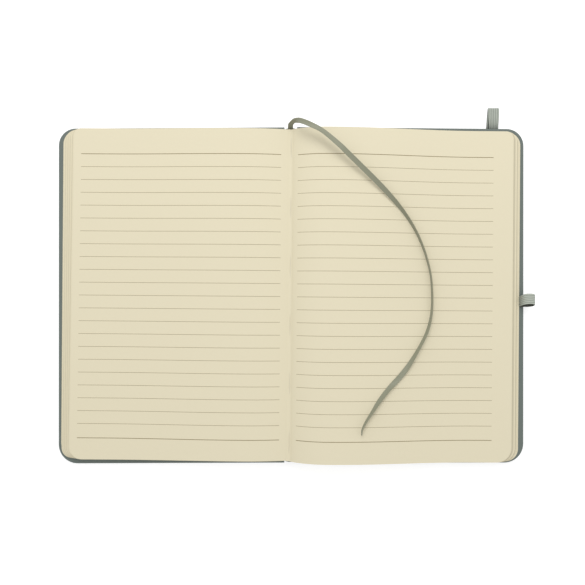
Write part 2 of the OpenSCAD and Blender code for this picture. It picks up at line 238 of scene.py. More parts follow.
SOCKETS = {int: "NodeSocketInt", float: "NodeSocketFloat", bpy.types.Material: "NodeSocketMaterial"}


def new_tree(name, inputs):
    """A tree with named inputs, and the sockets that give them."""
    tree = bpy.data.node_groups.new(name, "GeometryNodeTree")
    for label, kind in inputs.items():
        tree.interface.new_socket(name=label, in_out="INPUT", socket_type=SOCKETS[kind])
    tree.interface.new_socket(name="Geometry", in_out="OUTPUT", socket_type="NodeSocketGeometry")
    return tree, add(tree, "NodeGroupInput").outputs


def add(tree, kind, **sources):
    """A new node, with sockets linked to its inputs by their names."""
    node = tree.nodes.new(kind)
    for name, source in sources.items():
        tree.links.new(source, node.inputs[name])
    return node


def maths(tree, operation, *values):
    """One step of arithmetic on sockets and numbers."""
    node = tree.nodes.new("ShaderNodeMath")
    node.operation = operation
    for socket, value in zip(node.inputs, values):
        if isinstance(value, bpy.types.NodeSocket):
            tree.links.new(value, socket)
        else:
            socket.default_value = value
    return node.outputs[0]


def mixed(m, a, b, share):
    """The value that lies at a share of the way from a to b."""
    return m("ADD", a, m("MULTIPLY", m("SUBTRACT", b, a), share))


def in_case(tree, geometry):
    """Turns geometry with the page block and brings it from the case frame to the row frame."""
    node = add(tree, "GeometryNodeTransform", Geometry=geometry)
    node.inputs["Scale"].default_value = (MM, MM, MM)
    node.inputs["Rotation"].default_value = (0, 0, -TURN)
    node.inputs["Translation"].default_value = (-ORIGIN[0] * MM, -ORIGIN[1] * MM, 0)
    return node.outputs[0]


def finish_tree(tree, geometry, material, grooves=None):
    """Ends the tree with real geometry in its material, and grooves, where there are any, in another that is
    paper with painted shade.
    """
    last = add(tree, "GeometryNodeRealizeInstances", Geometry=geometry)
    last = add(tree, "GeometryNodeSetMaterial", Geometry=last.outputs[0], Material=material)
    if grooves:
        last = add(tree, "GeometryNodeSetMaterial", Geometry=last.outputs[0], **grooves)
    add(tree, "NodeGroupOutput", Geometry=last.outputs[0])


def made_by(tree, name, values):
    """The plain mesh that a tree makes with these values of its inputs."""
    obj = bpy.data.objects.new(name, bpy.data.meshes.new(name))
    bpy.context.scene.collection.objects.link(obj)
    modifier = obj.modifiers.new("made", "NODES")
    modifier.node_group = tree
    for item in tree.interface.items_tree:
        if item.name in values:
            modifier[item.identifier] = values[item.name]
    depsgraph = bpy.context.evaluated_depsgraph_get()
    mesh = bpy.data.meshes.new_from_object(obj.evaluated_get(depsgraph), depsgraph=depsgraph)
    obj.modifiers.remove(modifier)
    obj.data = mesh
    return obj


# Materials

MIX_FACTOR, MIX_A, MIX_B, MIX_RESULT = 0, 6, 7, 2  # sockets of a Mix node for colours
WAVE_PERIOD = math.pi / 10  # of a wave texture at scale 1


def new_material(name, color, roughness, specular=0.3):
    """A plain finish: the material, its shader and its node tree."""
    material = bpy.data.materials.new(name)
    material.use_nodes = True
    shader = material.node_tree.nodes["Principled BSDF"]
    shader.inputs["Base Color"].default_value = (*color, 1)
    shader.inputs["Roughness"].default_value = roughness
    shader.inputs["Specular IOR Level"].default_value = specular
    return material, shader, material.node_tree


def noise(tree, scale, detail):
    """Cloudy noise in the piece's own coordinates."""
    where = tree.nodes.new("ShaderNodeTexCoord")
    node = add(tree, "ShaderNodeTexNoise", Vector=where.outputs["Object"])
    node.inputs["Scale"].default_value = scale
    node.inputs["Detail"].default_value = detail
    return node.outputs["Fac"]


def mottle(tree, shader, color, pattern, amount):
    """Lets the base colour vary by an amount to either side, following a pattern."""
    mix = tree.nodes.new("ShaderNodeMix")
    mix.data_type = "RGBA"
    mix.inputs[MIX_A].default_value = (*[c * (1 - amount) for c in color], 1)
    mix.inputs[MIX_B].default_value = (*[min(1, c * (1 + amount)) for c in color], 1)
    tree.links.new(pattern, mix.inputs[MIX_FACTOR])
    tree.links.new(mix.outputs[MIX_RESULT], shader.inputs["Base Color"])


def darken(tree, shader, level):
    """Multiplies the base colour by a grey level."""
    mix = tree.nodes.new("ShaderNodeMix")
    mix.data_type = "RGBA"
    mix.blend_type = "MULTIPLY"
    mix.inputs[MIX_FACTOR].default_value = 1.0
    tree.links.new(shader.inputs["Base Color"].links[0].from_socket, mix.inputs[MIX_A])
    tree.links.new(level, mix.inputs[MIX_B])
    tree.links.new(mix.outputs[MIX_RESULT], shader.inputs["Base Color"])


def relief(tree, shader, height, distance, strength=1.0, before=None):
    """Raises the surface by a height pattern, a distance in metres, on top of an earlier relief if any."""
    node = add(tree, "ShaderNodeBump", Height=height)
    node.inputs["Distance"].default_value = distance
    node.inputs["Strength"].default_value = strength
    if before:
        tree.links.new(before, node.inputs["Normal"])
    tree.links.new(node.outputs["Normal"], shader.inputs["Normal"])
    return node.outputs["Normal"]


def shade_in_corners(tree, shader, reach, depth):
    """Darkens the base colour where other surfaces stand within a reach in metres."""
    near = tree.nodes.new("ShaderNodeAmbientOcclusion")
    near.samples = 8
    near.inputs["Distance"].default_value = reach
    darken(tree, shader, maths(tree, "POWER", near.outputs["AO"], depth))


def threads(tree, direction, pitch, distortion=0.0):
    """Threads side by side, at a pitch along U (X) or V (Y) of the piece's own UV."""
    where = tree.nodes.new("ShaderNodeTexCoord")
    node = add(tree, "ShaderNodeTexWave", Vector=where.outputs["UV"])
    node.wave_type = "BANDS"
    node.bands_direction = direction
    node.inputs["Scale"].default_value = WAVE_PERIOD / pitch
    node.inputs["Distortion"].default_value = distortion
    return node.outputs["Fac"]


def paper_material(name, color):
    """Matt book paper with a faint fibre."""
    material, shader, tree = new_material(name, color, roughness=0.85, specular=0.2)
    mottle(tree, shader, color, noise(tree, scale=900, detail=3), amount=0.012)
    relief(tree, shader, noise(tree, scale=2600, detail=2), distance=0.00002)
    return material


def skin_material(color):
    """Grey-green covering with a fine pebbled grain."""
    material, shader, tree = new_material("cover_skin", color, roughness=0.55, specular=0.4)
    mottle(tree, shader, color, noise(tree, scale=45, detail=4), amount=0.07)
    where = tree.nodes.new("ShaderNodeTexCoord")
    pebbles = add(tree, "ShaderNodeTexVoronoi", Vector=where.outputs["Object"])
    pebbles.feature = "SMOOTH_F1"
    pebbles.inputs["Scale"].default_value = 1500
    pebbles.inputs["Smoothness"].default_value = 0.7
    first = relief(tree, shader, pebbles.outputs["Distance"], distance=0.00008, strength=0.7)
    relief(tree, shader, noise(tree, scale=500, detail=3), distance=0.00006, strength=0.6, before=first)
    return material


def woven_material(name, color, roughness, pitch, depth, amount=0.06, ribs=None):
    """Cloth with fine cross threads along V. A number for ribs paints shade between ribs a unit of U apart,
    and paints shade near other surfaces as strongly as that number says.
    """
    material, shader, tree = new_material(name, color, roughness)
    weave = threads(tree, "Y", pitch, distortion=1.2)
    mottle(tree, shader, color, weave, amount)
    relief(tree, shader, weave, depth)
    if ribs:
        # Painted shade: darker between the ribs, and darker where other surfaces stand close
        between = add(tree, "ShaderNodeMapRange", Value=threads(tree, "X", 1.0))
        between.inputs["From Max"].default_value = 0.45
        between.inputs["To Min"].default_value = 0.5
        darken(tree, shader, between.outputs["Result"])
        shade_in_corners(tree, shader, reach=0.008, depth=ribs)
    shader.inputs["Sheen Weight"].default_value = 0.15
    return material


PAPER = (0.715, 0.655, 0.485)

paper = paper_material("paper", PAPER)
paper_edge = paper_material("paper_edge", PAPER)
# Paper darkened as painted shade, for the last leaf of each section, which lies in a groove under the section
# above
groove_shade_paper = {
    half: paper_material(f"{half}_groove_shade_paper", tuple(c * HALVES[half]["groove_shade"] for c in PAPER))
    for half in HALVES
}
ink = new_material("rule_ink", (0.25, 0.20, 0.11), roughness=0.8, specular=0.1)[0]
skin = skin_material((0.13, 0.155, 0.141))
board = new_material("grey_board", (0.42, 0.39, 0.34), roughness=0.9, specular=0.1)[0]
# Painted shade: near-black patches where the elastic goes into the back cover's slots
slot_shade = new_material("slot_shade", (0.01, 0.012, 0.01), roughness=0.9, specular=0.1)[0]
gauze = woven_material("gauze", (0.72, 0.69, 0.60), roughness=0.9, pitch=0.5, depth=0.00004)
thread = woven_material("thread", (0.72, 0.67, 0.52), roughness=0.7, pitch=0.3, depth=0.00004)
satin = woven_material("ribbon", (0.245, 0.25, 0.178), roughness=0.38, pitch=0.3, depth=0.00002, amount=0.04)
# Painted shade on both elastics: between their ribs, and near other surfaces, strongly on the closure where
# it goes under the cover
elastic = woven_material(
    "elastic", (0.41, 0.445, 0.39), roughness=0.75, pitch=0.45, depth=0.00006, ribs=1.8
)
loop_elastic = woven_material(
    "elastic_loop", (0.45, 0.485, 0.42), roughness=0.75, pitch=0.45, depth=0.00006, ribs=0.35
)
# Painted shade: a near-black elastic for the inner face of the pen loop, where shade falls inside the loop
loop_inside_shade = woven_material("elastic_inside_shade", (0.07, 0.075, 0.06), roughness=0.85, pitch=0.45, depth=0.00006)


# Page block

def surface(half, d):
    """Height of the uppermost leaf of a half, at a distance d from the gutter."""
    h = HALVES[half]
    if d < h["crest"]:
        rise = math.sin(math.pi / 2 * max(d, 0) ** h["power"] / h["crest"] ** h["power"])
        return GUTTER_Z + (HINGE_Z + h["swell"] - GUTTER_Z) * rise
    t = min(1.0, (d - h["crest"]) / (FLAT_X - h["crest"]))
    return HINGE_Z + h["swell"] * (1 + math.cos(math.pi * t)) / 2


def cut_by_corner(d, edge, radius):
    """How much a round corner at the fore-edge takes off the leaf's end at a distance d."""
    inside = max(0.0, d - (edge - radius))
    return radius - math.sqrt(max(0.0, radius ** 2 - inside ** 2))


def sewn_leaves_tree():
    """Repeats one leaf, gives each its own fore-edge, and bends them all over the swell."""
    tree, size = new_tree("sewn_leaves", {
        "Leaves": int, "Leaves in a section": int, "Seed": int, "Side": float, "Lowest leaf": float,
        "Hinge height": float, "Gutter height": float, "Swell": float, "Crest": float, "Flat from": float,
        "Rise power": float, "Fore-edge": float, "Section step": float, "Step growth": float,
        "Groove": float, "Head": float, "Tail": float, "Drop": float, "Lean": float,
        "Head corner of lowest": float, "Tail corner of lowest": float,
        "Head corner of uppermost": float, "Tail corner of uppermost": float,
        "Paper": bpy.types.Material, "Groove shade paper": bpy.types.Material,
    })
    m = lambda operation, *values: maths(tree, operation, *values)

    # Each leaf is a cube of size 1, and the cubes stand two apart, so that height tells them apart.
    apart = 2
    leaf = add(tree, "GeometryNodeMeshCube")
    leaf.inputs["Vertices X"].default_value = LEAF_STEPS
    line = add(tree, "GeometryNodeMeshLine", Count=size["Leaves"])
    line.inputs["Offset"].default_value = (0, 0, apart)
    rows = add(tree, "GeometryNodeInstanceOnPoints", Points=line.outputs[0], Instance=leaf.outputs[0])
    sheets = add(tree, "GeometryNodeRealizeInstances", Geometry=rows.outputs[0])
    position = add(tree, "GeometryNodeInputPosition").outputs[0]
    along, across, stacked = add(tree, "ShaderNodeSeparateXYZ", Vector=position).outputs

    # Number of a leaf, its layer from -0.5 below to 0.5 above, and its section
    number = m("ROUND", m("DIVIDE", stacked, apart))
    layer = m("SUBTRACT", stacked, m("MULTIPLY", number, apart))
    section = m("FLOOR", m("DIVIDE", m("ADD", number, 0.5), size["Leaves in a section"]))
    in_section = m("SUBTRACT", number, m("MULTIPLY", section, size["Leaves in a section"]))
    is_last = m("GREATER_THAN", in_section, m("SUBTRACT", size["Leaves in a section"], 1.5))
    share = m("DIVIDE", m("ADD", number, 0.5), size["Leaves"])

    # Own fore-edge, with the section's last leaf set back as a groove, where it gets paper with painted shade
    chance = add(tree, "FunctionNodeRandomValue", ID=number, Seed=size["Seed"])
    chance.inputs[2].default_value, chance.inputs[3].default_value = -1, 1
    uneven = m("MULTIPLY", chance.outputs[1], LEAF_UNEVEN)
    edges = []
    for place_in_row in (section, m("ADD", section, 1)):
        steps = m("POWER", place_in_row, size["Step growth"])
        edges.append(m("SUBTRACT", size["Fore-edge"], m("MULTIPLY", steps, size["Section step"])))
    own = m("ADD", m("SUBTRACT", edges[0], m("MULTIPLY", in_section, LEAF_CREEP)), uneven)
    edge = mixed(m, own, mixed(m, edges[1], edges[0], size["Groove"]), is_last)

    # Distance from the gutter, from the rounded back of the block to the fore-edge
    at_gutter = mixed(m, size["Lowest leaf"], size["Gutter height"], share)
    slope = m("SUBTRACT", 1, m("POWER", m("DIVIDE", at_gutter, BLOCK_BACK[1]), 2))
    begin = m("MAXIMUM", m("MULTIPLY", BLOCK_BACK[0], m("SQRT", m("MAXIMUM", slope, 0))), LEAF_START)
    half_turn = m("MULTIPLY", m("ADD", along, 0.5), math.pi)
    station = m("DIVIDE", m("SUBTRACT", 1, m("COSINE", half_turn)), 2)
    d = mixed(m, begin, edge, station)

    # Head and tail, with round corners and a tail that drops smoothly
    outwards = m("MAXIMUM", m("DIVIDE", m("SUBTRACT", d, DROP_FROM), m("SUBTRACT", edge, DROP_FROM)), 0)
    outwards = m("MULTIPLY", m("POWER", outwards, 2), m("SUBTRACT", 3, m("MULTIPLY", outwards, 2)))
    straight = {
        "Head": size["Head"],
        "Tail": m("SUBTRACT", size["Tail"], m("MULTIPLY", outwards, size["Drop"])),
    }
    ends = {}
    for end in straight:
        radius = mixed(m, size[f"{end} corner of lowest"], size[f"{end} corner of uppermost"], share)
        inside = m("MAXIMUM", m("SUBTRACT", d, m("SUBTRACT", edge, radius)), 0)
        kept = m("SQRT", m("MAXIMUM", m("SUBTRACT", m("POWER", radius, 2), m("POWER", inside, 2)), 0))
        inwards = "SUBTRACT" if end == "Head" else "ADD"
        ends[end] = m(inwards, straight[end], m("SUBTRACT", radius, kept))
    y = mixed(m, ends["Tail"], ends["Head"], m("ADD", across, 0.5))

    # Height: the swell of the uppermost leaf, shared out over the leaves below it
    turned = m("POWER", m("DIVIDE", d, size["Crest"]), size["Rise power"])
    rise = m("SINE", m("MULTIPLY", turned, math.pi / 2))
    rise = mixed(m, size["Gutter height"], m("ADD", size["Hinge height"], size["Swell"]), rise)
    past = m("DIVIDE", m("SUBTRACT", d, size["Crest"]), m("SUBTRACT", size["Flat from"], size["Crest"]))
    past = m("MINIMUM", m("MAXIMUM", past, 0), 1)
    wave = m("ADD", m("COSINE", m("MULTIPLY", past, math.pi)), 1)
    fall = m("DIVIDE", m("MULTIPLY", size["Swell"], wave), 2)
    surface_z = mixed(m, rise, m("ADD", size["Hinge height"], fall), m("GREATER_THAN", d, size["Crest"]))
    own_share = m("ADD", share, m("DIVIDE", m("MULTIPLY", layer, LEAF_FILL), size["Leaves"]))
    z = mixed(m, size["Lowest leaf"], surface_z, own_share)

    slant = m("MULTIPLY", m("MULTIPLY", m("MULTIPLY", size["Lean"], share), station), y)
    x = m("MULTIPLY", size["Side"], m("SUBTRACT", d, slant))
    where = add(tree, "ShaderNodeCombineXYZ", X=x, Y=y, Z=z)
    marked = add(tree, "GeometryNodeCaptureAttribute", Geometry=sheets.outputs[0])
    marked.domain = "FACE"
    marked.capture_items.new("FLOAT", "Groove leaf")
    tree.links.new(is_last, marked.inputs["Groove leaf"])
    bent = add(
        tree, "GeometryNodeSetPosition",
        Geometry=marked.outputs["Geometry"], Position=where.outputs[0],
    )
    # The groove leaves get the paper with painted shade
    grooves = {"Material": size["Groove shade paper"], "Selection": marked.outputs["Groove leaf"]}
    finish_tree(tree, in_case(tree, bent.outputs[0]), size["Paper"], grooves)
    return tree


def cut_where_pressed(obj, above):
    """Keeps what lies above or below the pressed height, and pulls the edge of the rest level with it."""
    level = PRESSED_Z * MM
    bm = bmesh.new()
    bm.from_mesh(obj.data)
    bmesh.ops.recalc_face_normals(bm, faces=bm.faces)
    rest = [f for f in bm.faces if all(v.co.z <= level if above else v.co.z >= level for v in f.verts)]
    bmesh.ops.delete(bm, geom=rest, context="FACES")
    for v in bm.verts:
        v.co.z = max(v.co.z, level) if above else min(v.co.z, level)
    bm.to_mesh(obj.data)
    bm.free()


def leaf_stack(half, tree):
    """All leaves under the top one: a rigid part up to the pressed height, and the swell above it."""
    h = HALVES[half]
    lowest, uppermost = h["corners"]
    for above, name in ((False, "leaves"), (True, "leaves_swell")):
        obj = made_by(tree, f"{half}_{name}", {
            "Leaves": h["sections"] * h["leaves"], "Leaves in a section": h["leaves"], "Seed": LEAF_SEED,
            "Side": float(SIDE[half]), "Lowest leaf": h["low"], "Hinge height": HINGE_Z,
            "Gutter height": GUTTER_Z, "Swell": h["swell"], "Crest": h["crest"], "Flat from": FLAT_X,
            "Rise power": h["power"], "Fore-edge": h["edge"], "Section step": h["step"],
            "Step growth": h["growth"], "Groove": h["groove"], "Head": h["head"], "Tail": h["tail"],
            "Drop": h["drop"], "Lean": h["lean"],
            "Head corner of lowest": lowest[0], "Tail corner of lowest": lowest[1],
            "Head corner of uppermost": uppermost[0], "Tail corner of uppermost": uppermost[1],
            "Paper": paper_edge, "Groove shade paper": groove_shade_paper[half],
        })
        cut_where_pressed(obj, above)
        shade(obj, 30)
        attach(obj, f"{half}_half")
        if above:
            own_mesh(obj)
        else:
            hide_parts(f"{half}_pages")


def rule_rows(h):
    """Where the top leaf is divided for its rules, from head to tail, and whether a rule begins there."""
    places = [h["first"] - h["pitch"] * i for i in range(EVEN_RULES)] + [h["last"]]
    rows = []
    for i, y in enumerate(places):
        width = END_RULE_W if y in (places[0], places[-1]) else RULE_W
        rows += [(y + width / 2, True), (y - width / 2, False)]
        if i < len(places) - 1:
            middle = (y + places[i + 1]) / 2
            rows += [(middle + HALF_STRIP, False), (middle - HALF_STRIP, False)]
    return rows


def leaf_stations(h):
    """Distances from the gutter at which the top leaf is divided, closer at the gutter and in its corners."""
    crest, edge, start, steps = h["crest"], h["top_edge"], 0.02, 26
    rise = [round(start + (crest - start) * (i / steps) ** 1.5, 4) for i in range(steps)]
    fall = [crest + (FLAT_X - crest) * i / steps for i in range(steps + 1)]
    corners = [edge - r * (1 - math.sin(math.radians(a))) for r in h["corners"][1] for a in range(0, 90, 9)]
    return sorted({*rise, *fall, *corners, h["inner"], h["outer"], edge})


def page_wave(d, y):
    """Height of the faint waves in an open page."""
    height, length_out, length_along = 0.10, 23, 31
    return height * math.sin(d / length_out + 0.6) * math.sin(y / length_along + 0.8) * smoothstep(4, 30, d)


def top_leaf(half):
    """The uppermost leaf with its rules, which are strips of its own faces."""
    h = HALVES[half]
    edge, (head_r, tail_r) = h["top_edge"], h["corners"][1]
    rules, stations = rule_rows(h), leaf_stations(h)
    first, last = rules[0][0], rules[-1][0]
    margin = [0, 0.03, 0.12, 0.3, 0.5, 0.75]  # shares of the way from the leaf's end to the rules
    is_rule = [False] * len(margin) + [begins for _, begins in rules] + [False] * len(margin)
    count, columns = len(stations), len(is_rule)
    verts = []
    for layer in (TOP_LEAF_T, 0.0):
        for d in stations:
            share = smoothstep(DROP_FROM, edge, d)
            head = h["head"] - cut_by_corner(d, edge, head_r)
            tail = h["tail"] - h["drop"] * share + cut_by_corner(d, edge, tail_r)
            row = [head + (first - head) * s for s in margin]
            row += [y for y, _ in rules]
            row += [tail + (last - tail) * s for s in reversed(margin)]
            for y in row:
                z = surface(half, d) + page_wave(d, y) + layer
                verts.append(place_leaf(half, d - h["lean"] * y * share, y, z))
    index = []
    for near, far in zip(stations, stations[1:]):
        printed = h["inner"] - TINY <= near and far <= h["outer"] + TINY
        index += [int(printed and begins) for begins in is_rule[:-1]]
    top_faces = grid_faces(count, columns)
    base = count * columns
    under = [tuple(base + i for i in reversed(face)) for face in top_faces]
    rim = [i * columns for i in range(count)] + [(count - 1) * columns + j for j in range(1, columns)]
    rim += [i * columns + columns - 1 for i in range(count - 2, -1, -1)] + list(range(columns - 2, 0, -1))
    walls = [(a, b, b + base, a + base) for a, b in zip(rim, rim[1:] + rim[:1])]
    materials = [paper, ink, paper_edge]
    index += [materials.index(paper)] * len(under) + [materials.index(paper_edge)] * len(walls)
    obj = closed_shell(f"{half}_top_leaf", verts, top_faces + under + walls, materials, index, sharp=50)
    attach(obj, f"{half}_half")
    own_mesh(obj)


leaves_tree = sewn_leaves_tree()
for half in HALVES:
    leaf_stack(half, leaves_tree)
    top_leaf(half)


# Covers and what is pasted on them

def outline(inset):
    """A cover's outline, set in by an amount on all four sides."""
    end, edge = COVER_H / 2 - inset, FORE_EDGE - inset
    points = [(HALF_GAP + inset, -end), (FORE_EDGE / 2, -end)]
    for corner, up in (("tail", -1), ("head", 1)):
        r = max(COVER_R[corner] - inset, LEAST_R)
        arc = [(edge - r + r * math.cos(a), up * (end - r + r * math.sin(a))) for a in quarter_turn()]
        points += arc[::-1] if corner == "tail" else [(edge, 0.0)] + arc
    return points + [(FORE_EDGE / 2, end), (HALF_GAP + inset, end)]


def out_of_square(half, x, y):
    """Where a cover's point at x, y really lies along Y, since its head and tail run a little askew."""
    outwards, headwards = (x - HALF_GAP) / COVER_W, 0.5 + y / COVER_H
    head, tail = [a + (b - a) * outwards for a, b in HALVES[half]["square"]]
    return y + tail + (head - tail) * headwards


def cover(half):
    """The covering, wrapped round the board and turned in over it."""
    soft, inner_z = EDGE_SOFT, COVER_T - SKIN_T
    arcs = quarter_turn(4)
    profile = [(soft - soft * math.sin(a), soft - soft * math.cos(a)) for a in arcs]
    profile += [(soft - soft * math.cos(a), COVER_T - soft + soft * math.sin(a)) for a in arcs]
    profile += [(TURN_IN, COVER_T), (TURN_IN, inner_z), (SKIN_T, inner_z), (SKIN_T, SKIN_T)]
    verts = []
    for inset, z in profile:
        verts += [place(SIDE[half] * x, out_of_square(half, x, y), z + LIFT[half]) for x, y in outline(inset)]
    faces = tube_faces(len(profile), len(outline(0)))
    obj = closed_shell(f"{half}_cover", verts, faces, [skin], sharp=50)
    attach(obj, f"{half}_half")
    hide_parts(f"{half}_cover_skin")


def board_sheet(half):
    """The board that the covering is wrapped round, cut to the same outline."""
    rim = [(x, out_of_square(half, x, y)) for x, y in outline(SKIN_T)]
    levels = [LIFT[half] + SKIN_T, LIFT[half] + COVER_T - SKIN_T]
    verts = [place(SIDE[half] * x, y, z) for z in levels for x, y in rim]
    obj = closed_shell(f"{half}_board_sheet", verts, sheet_faces(len(rim)), [board], sharp=30)
    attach(obj, f"{half}_half")
    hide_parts(f"{half}_board")


def endpaper(half):
    """The sheet pasted over the board and the turned-in covering."""
    h = HALVES[half]
    head, tail, edge, r = h["head"], h["tail"], h["pasted"], h["corners"][0][0]
    spine_edge = HALF_GAP + ENDPAPER_INSET
    rim = [(spine_edge, tail), (edge - r, tail)]
    rim += [(edge - r + r * math.sin(a), tail + r - r * math.cos(a)) for a in quarter_turn()]
    rim += [(edge - r + r * math.cos(a), head - r + r * math.sin(a)) for a in quarter_turn()]
    rim += [(edge - r, head), (spine_edge, head)]
    verts = [place_leaf(half, d, y, z) for z in (LIFT[half] + COVER_T, h["low"]) for d, y in rim]
    obj = closed_shell(f"{half}_endpaper_sheet", verts, sheet_faces(len(rim)), [paper], sharp=30)
    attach(obj, f"{half}_half")
    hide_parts(f"{half}_endpaper")


def bent_strip(name, outer, inner, length, middle, material, put=place):
    """A strip along the spine, between an outer and an inner line of x and z."""
    verts = []
    for i in range(STRIP_STEPS + 1):
        y = middle - length / 2 + length * i / STRIP_STEPS
        verts += [put(x, y, z) for x, z in outer + inner[::-1]]
    faces = tube_faces(STRIP_STEPS + 1, len(outer) + len(inner))
    obj = closed_shell(name, verts, faces, [material], sharp=50)
    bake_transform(obj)
    return obj


def in_block(x, y, z):
    """A point beside the gutter, turned with the page block."""
    return place_leaf("back", x, y, z)


def fold():
    """The folded sheet at the open page: a smooth valley that bridges the gap between the two top leaves."""
    left_x, low_x, right_x = -2.2, -0.25, 0.9
    over_leaf, over_gutter, thick, short = 0.15, 0.1, 0.1, 0.4
    left = (left_x, surface("front", -left_x) + over_leaf)
    right = (right_x, surface("back", right_x) + over_leaf)
    low = (low_x, GUTTER_Z + over_gutter)
    valley = []
    steps = 16
    for i in range(steps + 1):
        t = i / steps
        weights = (1 - t) ** 2, 2 * t * (1 - t), t ** 2
        valley.append(tuple(sum(w * p[k] for w, p in zip(weights, (left, low, right))) for k in (0, 1)))
    underside = [(x, z - thick) for x, z in valley]
    head, tail = HALVES["back"]["head"], HALVES["back"]["tail"]
    length, middle = head - tail - short, (head + tail) / 2
    bent_strip("fold", valley, underside, length, middle, paper, put=in_block)


def spine_arch(inset):
    """Line of the covering over the spine, from the front cover to the back cover."""
    feet = []
    for half in HALVES:
        base, rise = LIFT[half], SPINE_RISE - inset
        feet.append([
            (SIDE[half] * (HALF_GAP - inset) * math.cos(a), base + (rise - base) * math.sin(a))
            for a in quarter_turn(ARCH_STEPS)
        ])
    return feet[0] + feet[1][::-1][1:]


def lining_arch(inset):
    """Line of the lining under the rounded back of the page block, from front to back."""
    half_width, rise, steps = BLOCK_BACK[0] - inset, BLOCK_BACK[1] - inset, 12
    feet = []
    for half in HALVES:
        first = math.asin((HALVES[half]["low"] + LINING_GAP) / rise)
        angles = [first + (math.pi / 2 - first) * i / steps for i in range(steps + 1)]
        feet.append([(SIDE[half] * half_width * math.cos(a), rise * math.sin(a)) for a in angles])
    return feet[0] + feet[1][::-1][1:]


for half in HALVES:
    cover(half)
    board_sheet(half)
    endpaper(half)
fold()
bent_strip("spine", spine_arch(0.0), spine_arch(SKIN_T), SPINE_LENGTH, SPINE_MIDDLE, skin)
lining = bent_strip(
    "lining", lining_arch(LINING_GAP), lining_arch(LINING_GAP + LINING_T), LINING_LENGTH, BLOCK_MIDDLE,
    gauze, put=in_block,
)
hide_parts("spine_lining")


# Straps and the ribbon

RIBS = 6  # ribs across the elastic


def strap_section(width, thick):
    """Outline of an elastic's section, with rounded ribs on both faces and thin sides."""
    steps, rib_depth, side_depth, side_share = RIBS * 4, 0.16, 0.28, 1 / 14
    face = []
    for i in range(steps + 1):
        s = i / steps
        dip = rib_depth * thick * (1 - abs(math.sin(math.pi * RIBS * s)))
        round_off = side_depth * thick * max(0.0, 1 - min(s, 1 - s) / side_share) ** 2
        face.append((width * (s - 0.5), thick / 2 - dip - round_off))
    return face + [(u, -v) for u, v in reversed(face)]


def sweep(name, stations, section, material, ribs=0):
    """Runs a section along stations of (centre, across, through, width share), U in ribs or mm, V in mm."""
    verts, uv, length = [], [], 0.0
    across_scale = ribs / (2 * max(u for u, _ in section)) if ribs else 1.0
    for i, (centre, across, through, share) in enumerate(stations):
        if i:
            length += (Vector(centre) - Vector(stations[i - 1][0])).length
        for u, v in section:
            p = Vector(centre) + Vector(across) * u * share + Vector(through) * v
            verts.append(place(*p))
            uv.append((u * across_scale, length))
    return closed_shell(name, verts, tube_faces(len(stations), len(section)), [material], uv=uv, sharp=60)


def flat_path(points, across):
    """Stations of full width along points in a plane, with one direction across the strap."""
    stations = []
    for i, point in enumerate(points):
        ahead = (Vector(points[min(i + 1, len(points) - 1)]) - Vector(points[max(i - 1, 0)])).normalized()
        stations.append([point, Vector(across), ahead.cross(Vector(across)).normalized(), 1.0])
    return stations


ELASTIC_X, SLOT_Y = 127.75, 96.0  # where the elastic goes through the back cover's two slots
ELASTIC_OUT_Y = 118.5  # how far its slack loop stands out past the head
SLOT_REACH = (3.75, 0.5)  # half-lengths of the painted shade at a slot's mouth


def elastic_path():
    """Through the head slot, out past the head, back under the cover and into the tail slot."""
    inside_z, board_z, upper_z, lower_z = 3.6, 2.2, 1.0, 0.3
    bend_z, bend_r = 0.65, 0.35
    start_y, bend_y = SLOT_Y + 0.6, ELASTIC_OUT_Y - 0.65
    path = [(SLOT_Y, inside_z), (SLOT_Y, board_z), (SLOT_Y + 0.1, 1.3), (start_y, 1.02)]
    path += [(start_y + (bend_y - start_y) * i / 12, upper_z) for i in range(1, 13)]
    bend = [math.radians(a) for a in range(75, -91, -15)]
    path += [(bend_y + bend_r * math.cos(a), bend_z + bend_r * math.sin(a)) for a in bend]
    path += [(bend_y + (0.6 - SLOT_Y - bend_y) * i / 30, lower_z) for i in range(1, 31)]
    path += [(0.1 - SLOT_Y, 0.34), (-SLOT_Y, 0.8), (-SLOT_Y, board_z), (-SLOT_Y, inside_z)]
    return [(ELASTIC_X, y, z) for y, z in path]


def elastic_band():
    """The elastic closure, narrower between its ends, with its lower layer a little aside at the head."""
    drawn_in, lower_share, aside, between_z = 0.84, 0.94, 1.3, 0.65
    narrower, wider = (80, 100), (104.0, 116.0)  # stretches along Y where the width changes
    leaves, returns = (92.0, 104.0), (106.0, 118.0)  # and where the lower layer moves aside and back
    stations = flat_path(elastic_path(), (1, 0, 0))
    for station in stations:
        centre = Vector(station[0])
        y = centre.y
        wide = max(smoothstep(*wider, y), 1 - smoothstep(*narrower, y))
        station[3] = drawn_in + (1 - drawn_in) * wide
        if centre.z < between_z:
            station[3] = max(station[3], lower_share)
            centre.x -= aside * smoothstep(*leaves, y) * (1 - smoothstep(*returns, y))
        station[0] = centre
    obj = sweep("elastic_closure", stations, strap_section(width=7.0, thick=0.56), elastic, ribs=RIBS)
    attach(obj, "back_half")
    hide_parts("elastic_band")


def slot_mouth(end, y):
    """Painted shade at the mouth of a slot: a thin dark patch on the underside of the back cover."""
    (a, b), below, inside = SLOT_REACH, 0.015, 0.05
    levels = (LIFT["back"] - below, LIFT["back"] + inside)
    rim = [(ELASTIC_X - a, y - b), (ELASTIC_X + a, y - b), (ELASTIC_X + a, y + b), (ELASTIC_X - a, y + b)]
    verts = [place(*point, z) for z in levels for point in rim]
    mouth = closed_shell(f"slot_{end}", verts, sheet_faces(len(rim)), [slot_shade])
    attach(mouth, "back_half")


